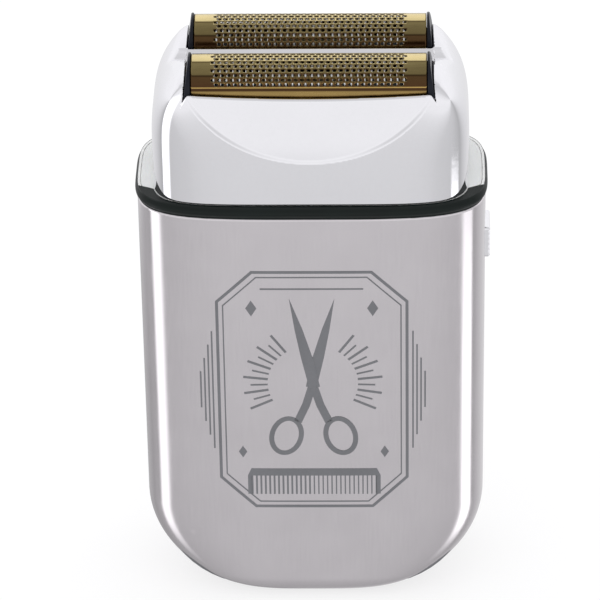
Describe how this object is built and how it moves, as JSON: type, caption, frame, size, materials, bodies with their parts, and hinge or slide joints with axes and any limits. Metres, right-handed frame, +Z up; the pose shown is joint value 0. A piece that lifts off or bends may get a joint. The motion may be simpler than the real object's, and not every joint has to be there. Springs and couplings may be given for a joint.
{
  "type": "foil shaver",
  "caption": "Hand-held twin-foil shaver: flat metal body with rounded lower corners, lift-off polished head, gold perforated foils and a side slide switch.",
  "frame": {"origin": "centre of the flat base, on the surface the shaver stands on", "axes": "+Z up along the shaver towards the foils, -Y is the front with the emblem, +X is the side with the slide switch"},
  "size_m": [0.0651, 0.031, 0.1145],
  "materials": {
    "satin_metal": "satin brushed, polished towards the corners",
    "polished_metal": "polished",
    "grey_metal": "satin",
    "black_rubber": "semi-gloss",
    "black_plastic": "gloss",
    "grey_plastic": "matt",
    "white_plastic": "matt",
    "steel": "bright",
    "magnet": "plain",
    "brass": "bright",
    "copper": "enamelled wire",
    "gold_foil": "gold-coated",
    "board_green": "solder mask",
    "clear_lens": "clear",
    "cell_wrap": "shrink sleeve",
    "red_wire": "insulation"
  },
  "bodies": {
    "body": {"body_sleeve": "satin_metal", "seal_band": "black_rubber", "top_deck": "white_plastic", "deck_screws": "steel", "chassis_front": "grey_plastic", "chassis_rear": "grey_plastic", "chassis_screws": "steel", "motor_bracket": "steel", "bracket_screws": "steel", "motor_screws": "steel", "motor_can": "steel", "motor_magnets": "magnet", "motor_end_cap": "white_plastic", "motor_terminals": "brass", "flexure_leaves": "steel", "front_pin_seal": "black_rubber", "rear_pin_seal": "black_rubber", "release_spring": "steel", "switch_plate": "grey_metal", "switch_body": "black_plastic", "circuit_board": "board_green", "board_parts": "black_plastic", "board_screws": "steel", "indicator_lens": "clear_lens", "battery_cell": "cell_wrap", "battery_tabs": "steel", "battery_leads": "red_wire", "motor_leads": "black_rubber", "charge_socket": "black_plastic", "charge_pin": "brass", "charge_leads": "black_rubber"},
    "motor": {"motor_shaft": "steel", "motor_rotor": "copper", "eccentric_cam": "white_plastic"},
    "front_drive": {"front_drive_bridge": "white_plastic", "front_drive_pin": "steel", "front_cutter_spring": "steel"},
    "rear_drive": {"rear_drive_bridge": "white_plastic", "rear_drive_pin": "steel", "rear_cutter_spring": "steel"},
    "front_cutter": {"front_cutter_carrier": "black_plastic", "front_cutter_blades": "steel"},
    "rear_cutter": {"rear_cutter_carrier": "black_plastic", "rear_cutter_blades": "steel"},
    "head": {"head_shell": "polished_metal", "head_frame": "black_plastic", "head_frame_screws": "steel", "front_foil_springs": "steel", "rear_foil_springs": "steel"},
    "front_foil_unit": {"front_foil": "gold_foil", "front_foil_frame": "black_plastic"},
    "rear_foil_unit": {"rear_foil": "gold_foil", "rear_foil_frame": "black_plastic"},
    "release": {"release_button": "polished_metal", "release_latch": "black_plastic"},
    "switch": {"switch_slider": "polished_metal", "switch_nub": "white_plastic"}
  },
  "joints": [
    {"name": "motor_spin", "type": "hinge", "parent": "body", "child": "motor", "pos_m": [0, 0, 0.08], "axis": [0, 0, 1], "continuous": true},
    {"name": "front_drive_stroke", "type": "slide", "parent": "body", "child": "front_drive", "axis": [1, 0, 0], "range_m": [-0.0008, 0.0008]},
    {"name": "rear_drive_stroke", "type": "slide", "parent": "body", "child": "rear_drive", "axis": [1, 0, 0], "range_m": [-0.0008, 0.0008]},
    {"name": "head_lift", "type": "slide", "parent": "body", "child": "head", "axis": [0, 0, 1], "range_m": [0, 0.03]},
    {"name": "front_foil_float", "type": "slide", "parent": "head", "child": "front_foil_unit", "axis": [0, 0, 1], "range_m": [-0.0015, 0], "stiffness_N_per_m": 600, "springref_m": 0.0005, "deforming": ["front_foil_springs"]},
    {"name": "rear_foil_float", "type": "slide", "parent": "head", "child": "rear_foil_unit", "axis": [0, 0, 1], "range_m": [-0.0015, 0], "stiffness_N_per_m": 600, "springref_m": 0.0005, "deforming": ["rear_foil_springs"]},
    {"name": "front_cutter_float", "type": "slide", "parent": "front_drive", "child": "front_cutter", "axis": [0, 0, 1], "range_m": [-0.0015, 0], "deforming": ["front_cutter_spring"]},
    {"name": "rear_cutter_float", "type": "slide", "parent": "rear_drive", "child": "rear_cutter", "axis": [0, 0, 1], "range_m": [-0.0015, 0], "deforming": ["rear_cutter_spring"]},
    {"name": "release_press", "type": "slide", "parent": "body", "child": "release", "axis": [0, -1, 0], "range_m": [0, 0.0012], "stiffness_N_per_m": 1500, "springref_m": -0.0003, "deforming": ["release_spring"]},
    {"name": "switch_slide", "type": "slide", "parent": "body", "child": "switch", "axis": [0, 0, 1], "range_m": [0, 0.0045]}
  ],
  "couplings": [
    {"joint": "rear_drive_stroke", "follows": "front_drive_stroke", "ratio": -1},
    {"joint": "front_cutter_float", "follows": "front_foil_float", "ratio": 1},
    {"joint": "rear_cutter_float", "follows": "rear_foil_float", "ratio": 1}
  ]
}
